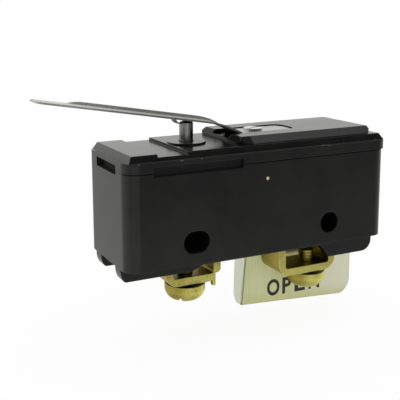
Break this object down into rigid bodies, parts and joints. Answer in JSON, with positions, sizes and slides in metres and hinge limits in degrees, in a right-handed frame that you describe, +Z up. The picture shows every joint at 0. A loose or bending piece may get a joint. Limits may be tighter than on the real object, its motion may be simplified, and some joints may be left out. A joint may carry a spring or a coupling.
{
  "type": "snap-action switch",
  "caption": "Basic snap-action switch: black moulded case with cross mounting holes, a spring leaf lever over a steel pin plunger, brass screw terminals below and an insulating sheet.",
  "frame": {"origin": "on the axis of the round mounting hole, in the middle of the case's width", "axes": "+X along the case away from the lever's tip, +Y to the rear face along the mounting holes, +Z up towards the plunger"},
  "size_m": [0.0633, 0.0174, 0.0422],
  "materials": {
    "phenolic": "moulded gloss",
    "spring_steel": "rolled",
    "plated_steel": "bright plated",
    "pin_steel": "ground",
    "button_plastic": "moulded",
    "brass": "stamped",
    "spring_copper": "rolled",
    "contact_metal": "polished",
    "sheet": "translucent",
    "magnet": "sintered"
  },
  "bodies": {
    "housing": {"base": "phenolic", "cover": "phenolic", "lever_screw": "plated_steel", "lever_insert": "brass", "common_strap": "brass", "open_strap": "brass", "insulating_sheet": "sheet", "common_bracket": "brass", "anchor_rivet": "brass", "open_bracket": "brass", "open_contact": "contact_metal", "closed_stop": "brass", "blowout_magnet": "magnet"},
    "lever": {"leaf_lever": "spring_steel"},
    "plunger": {"pin_plunger": "pin_steel", "plunger_button": "button_plastic"},
    "return_spring": {"return_leaf": "spring_copper"},
    "arm": {"contact_arm": "spring_copper", "moving_contact": "contact_metal", "toggle_spring": "spring_steel"},
    "common_clamp": {"common_screw": "brass"},
    "open_clamp": {"open_screw": "brass"}
  },
  "joints": [
    {"name": "lever_flex", "type": "hinge", "parent": "housing", "child": "lever", "pos_m": [-0.0132, 0, 0.01537], "axis": [0, -1, 0], "range_deg": [0, 12], "stiffness_Nm_per_rad": 0.05, "deforming": ["leaf_lever"]},
    {"name": "plunger_slide", "type": "slide", "parent": "housing", "child": "plunger", "axis": [0, 0, -1], "range_m": [0, 0.00205]},
    {"name": "return_flex", "type": "hinge", "parent": "housing", "child": "return_spring", "pos_m": [-0.02963, 0, 0.01017], "axis": [0, 1, 0], "range_deg": [0, 19], "deforming": ["return_leaf"]},
    {"name": "arm_rock", "type": "hinge", "parent": "housing", "child": "arm", "pos_m": [-0.01712, 0, 0.0082], "axis": [0, 1, 0], "range_deg": [0, 4.9], "deforming": ["toggle_spring"]},
    {"name": "common_screw_travel", "type": "slide", "parent": "housing", "child": "common_clamp", "axis": [0, 0, -1], "range_m": [-0.0003, 0.0015]},
    {"name": "open_screw_travel", "type": "slide", "parent": "housing", "child": "open_clamp", "axis": [0, 0, -1], "range_m": [-0.0003, 0.0015]}
  ],
  "couplings": [
    {"joint": "plunger_slide", "follows": "lever_flex", "m_per_rad": 0.0097},
    {"joint": "return_flex", "follows": "lever_flex", "ratio": 1.55},
    {"joint": "arm_rock", "follows": "lever_flex", "ratio": 0.4}
  ]
}
